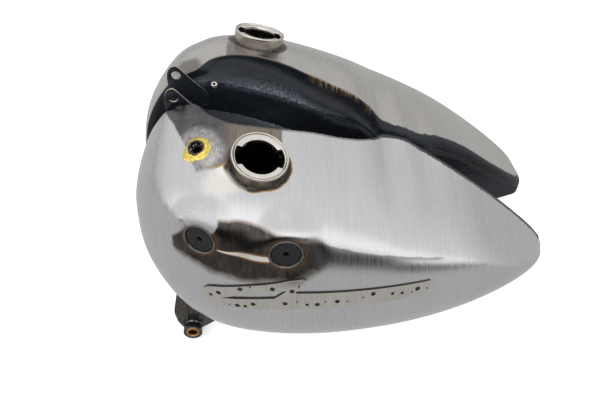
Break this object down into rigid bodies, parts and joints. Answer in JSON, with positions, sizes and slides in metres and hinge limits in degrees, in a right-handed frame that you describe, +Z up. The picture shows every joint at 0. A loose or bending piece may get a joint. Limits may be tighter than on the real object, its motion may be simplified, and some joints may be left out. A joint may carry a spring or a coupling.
{
  "type": "motorcycle fuel tank",
  "caption": "Split fuel tank for a motorcycle: two mirrored teardrop halves that sit astride the frame tube, each with a bayonet filler neck, side trim backing plate, front and rear fixings.",
  "frame": {"origin": "middle of the bounding box on the surface that the tank rests on", "axes": "+X to the rear of the motorcycle, +Y to its right-hand side, +Z up"},
  "size_m": [0.4412, 0.3742, 0.2835],
  "materials": {
    "bare_steel": "bare sheet steel, fine transverse brushing with heat tint at the welds",
    "black_paint": "black primer, brushed on, semi-gloss",
    "nickel_plate": "dull nickel plate",
    "brass": "as-brazed",
    "bronze": "plain bush",
    "dark_steel": "heat-darkened and primed steel",
    "gate_steel": "near-black turned steel",
    "plate_steel": "thin plate, matt"
  },
  "bodies": {
    "root": {"bayonet_cam_left": "nickel_plate", "bayonet_cam_right": "nickel_plate", "belly_pan_left": "bare_steel", "belly_pan_right": "bare_steel", "bracket_boss_left": "dark_steel", "bracket_boss_right": "dark_steel", "bracket_bush_left": "bronze", "bracket_bush_right": "bronze", "crossover_bung_left": "dark_steel", "crossover_bung_right": "dark_steel", "filler_neck_left": "nickel_plate", "filler_neck_right": "nickel_plate", "front_bracket_left": "dark_steel", "front_bracket_right": "dark_steel", "front_ear_left": "black_paint", "front_ear_right": "black_paint", "gate_cup_front_left": "gate_steel", "gate_cup_rear_left": "gate_steel", "gate_disc_front_left": "gate_steel", "gate_disc_rear_left": "gate_steel", "outer_skin_left": "bare_steel", "outer_skin_right": "bare_steel", "outlet_bung_left": "dark_steel", "rear_tab_left": "black_paint", "rear_tab_right": "black_paint", "trim_plate_left": "plate_steel", "trim_plate_right": "plate_steel", "tunnel_wall_left": "black_paint", "tunnel_wall_right": "black_paint", "valve_boss_braze_left": "brass", "valve_boss_left": "dark_steel", "valve_seat_left": "brass", "vent_nipple_left": "nickel_plate", "vent_nipple_right": "nickel_plate"}
  },
  "joints": []
}
